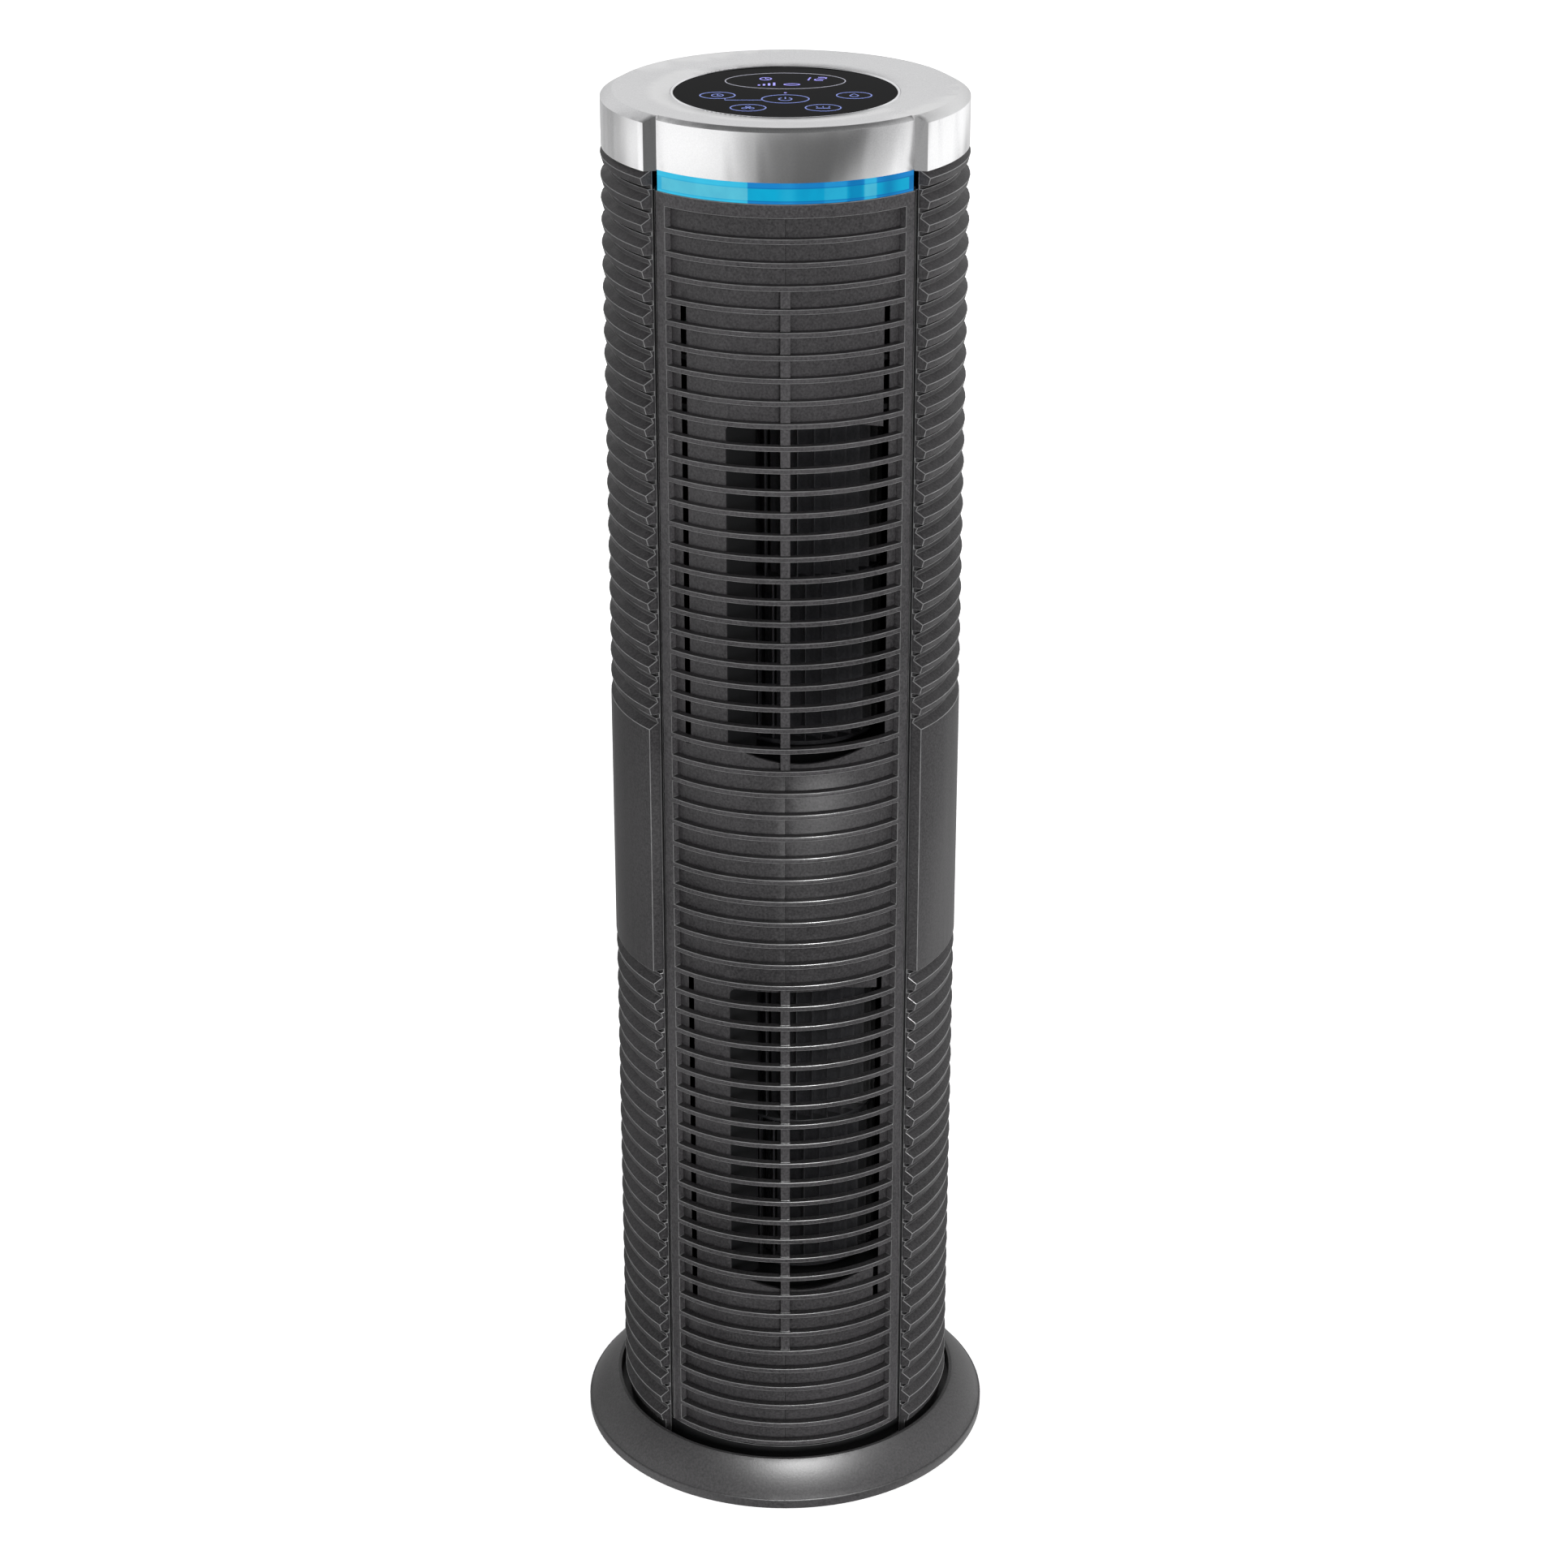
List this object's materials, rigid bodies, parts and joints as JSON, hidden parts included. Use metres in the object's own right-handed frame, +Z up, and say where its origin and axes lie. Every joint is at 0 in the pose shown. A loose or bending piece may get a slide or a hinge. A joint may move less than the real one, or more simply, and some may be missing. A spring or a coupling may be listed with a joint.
{
  "type": "air purifier",
  "caption": "Upright round tower air purifier with a barred front outlet, ribbed sides, silver cap with a glass touch panel, lit band, flanged base and tilt-out rear filter door.",
  "frame": {"origin": "middle of the circle of feet, on the surface the purifier stands on", "axes": "+Z up, -Y towards the front air outlet, +Y towards the filter door, +X to the right seen from the front"},
  "size_m": [0.2074, 0.2074, 0.7025],
  "materials": {
    "charcoal_plastic": "fine-grained satin charcoal moulding",
    "inner_black_plastic": "plain dark moulding",
    "impeller_plastic": "glass-filled dark plastic",
    "rubber": "matt black rubber",
    "screw_steel": "black-passivated steel",
    "silver_cap": "satin metallic silver lacquer",
    "bright_trim": "bright plated",
    "black_glass": "gloss black touch glass",
    "cyan_band": "translucent lit cyan plastic",
    "bronze": "oil-filled sintered bronze",
    "shaft_steel": "ground steel",
    "motor_steel": "zinc-plated pressed steel",
    "copper": "enamelled copper windings",
    "capacitor_grey": "grey case",
    "ballast_white": "off-white case",
    "lamp_glass": "clear quartz tube",
    "lamp_metal": "bright metal",
    "filter_card": "pressed card frame",
    "filter_paper": "pleated filter paper",
    "carbon_foam": "open-cell carbon foam",
    "pull_ribbon": "woven ribbon",
    "magnet": "nickel plated",
    "board_green": "solder-masked board",
    "transformer_steel": "varnished laminations",
    "display_black": "dark display window",
    "led_white": "clear domed emitters"
  },
  "bodies": {
    "housing": {"base_flange": "charcoal_plastic", "base_plate": "inner_black_plastic", "rubber_feet": "rubber", "base_screws": "screw_steel", "plate_screws": "screw_steel", "front_housing": "charcoal_plastic", "rear_housing": "charcoal_plastic", "housing_screws": "screw_steel", "cord_gland": "rubber", "front_grille": "charcoal_plastic", "duct_panel": "charcoal_plastic", "upper_scroll": "inner_black_plastic", "lower_scroll": "inner_black_plastic", "impeller_bearings": "bronze", "motor_housing": "motor_steel", "motor_bushings": "bronze", "stator_core": "motor_steel", "stator_windings": "copper", "motor_bracket": "motor_steel", "motor_screws": "screw_steel", "motor_capacitor": "capacitor_grey", "lamp_ballast": "ballast_white", "uv_lamp_tube": "lamp_glass", "uv_lamp_caps": "lamp_metal", "lamp_sockets": "inner_black_plastic", "ionizer_module": "inner_black_plastic", "ionizer_needles": "lamp_metal", "filter_bay": "inner_black_plastic", "interlock_sensor": "inner_black_plastic", "top_deck": "inner_black_plastic", "power_board": "board_green", "power_transformer": "transformer_steel", "board_capacitors": "capacitor_grey", "relay": "ballast_white", "control_board": "board_green", "display_module": "display_black", "light_board": "board_green", "band_leds": "led_white", "top_cap": "silver_cap", "control_glass": "black_glass", "glass_trim_ring": "bright_trim", "light_band": "cyan_band"},
    "fan": {"upper_impeller": "impeller_plastic", "lower_impeller": "impeller_plastic", "impeller_hubs": "rubber", "impeller_pins": "shaft_steel", "motor_shaft": "shaft_steel", "motor_rotor": "motor_steel"},
    "rear_door": {"rear_door": "charcoal_plastic", "door_magnet": "magnet"},
    "filter": {"filter_frame": "filter_card", "filter_media": "filter_paper", "carbon_prefilter": "carbon_foam", "filter_pull_tab": "pull_ribbon"}
  },
  "joints": [
    {"name": "fan_spin", "type": "hinge", "parent": "housing", "child": "fan", "pos_m": [0.008, -0.014, 0.34], "axis": [0, 0, 1], "continuous": true},
    {"name": "door_tilt", "type": "hinge", "parent": "housing", "child": "rear_door", "pos_m": [0, 0.084, 0.0652], "axis": [-1, 0, 0], "range_deg": [0, 30]},
    {"name": "filter_tilt", "type": "hinge", "parent": "housing", "child": "filter", "pos_m": [0, 0.054, 0.075], "axis": [-1, 0, 0], "range_deg": [0, 15]}
  ],
  "couplings": [
    {"joint": "filter_tilt", "follows": "door_tilt", "ratio": 0.5}
  ]
}
